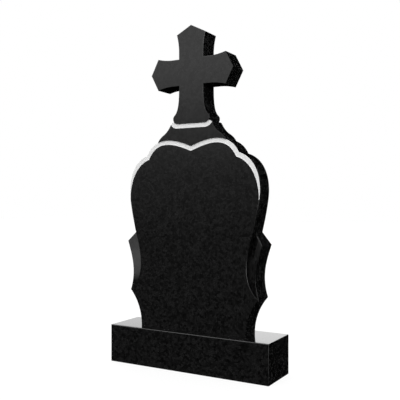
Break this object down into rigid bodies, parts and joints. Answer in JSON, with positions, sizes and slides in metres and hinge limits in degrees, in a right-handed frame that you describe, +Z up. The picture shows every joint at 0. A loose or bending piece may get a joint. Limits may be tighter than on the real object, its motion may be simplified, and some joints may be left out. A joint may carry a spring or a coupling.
{
  "type": "cross headstone",
  "caption": "Upright headstone of polished black granite: a cross on a flared collar above a lobed, winged slab that stands on a plain plinth block.",
  "frame": {"origin": "middle of the plinth's underside", "axes": "+Z up; the carved face looks along -Y; +X is to the right of a viewer facing the cross"},
  "size_m": [0.706, 0.19, 1.35],
  "materials": {
    "granite": "mirror polished black granite, with frosted light grey bands"
  },
  "bodies": {
    "root": {"stele": "granite", "plinth": "granite"}
  },
  "joints": []
}
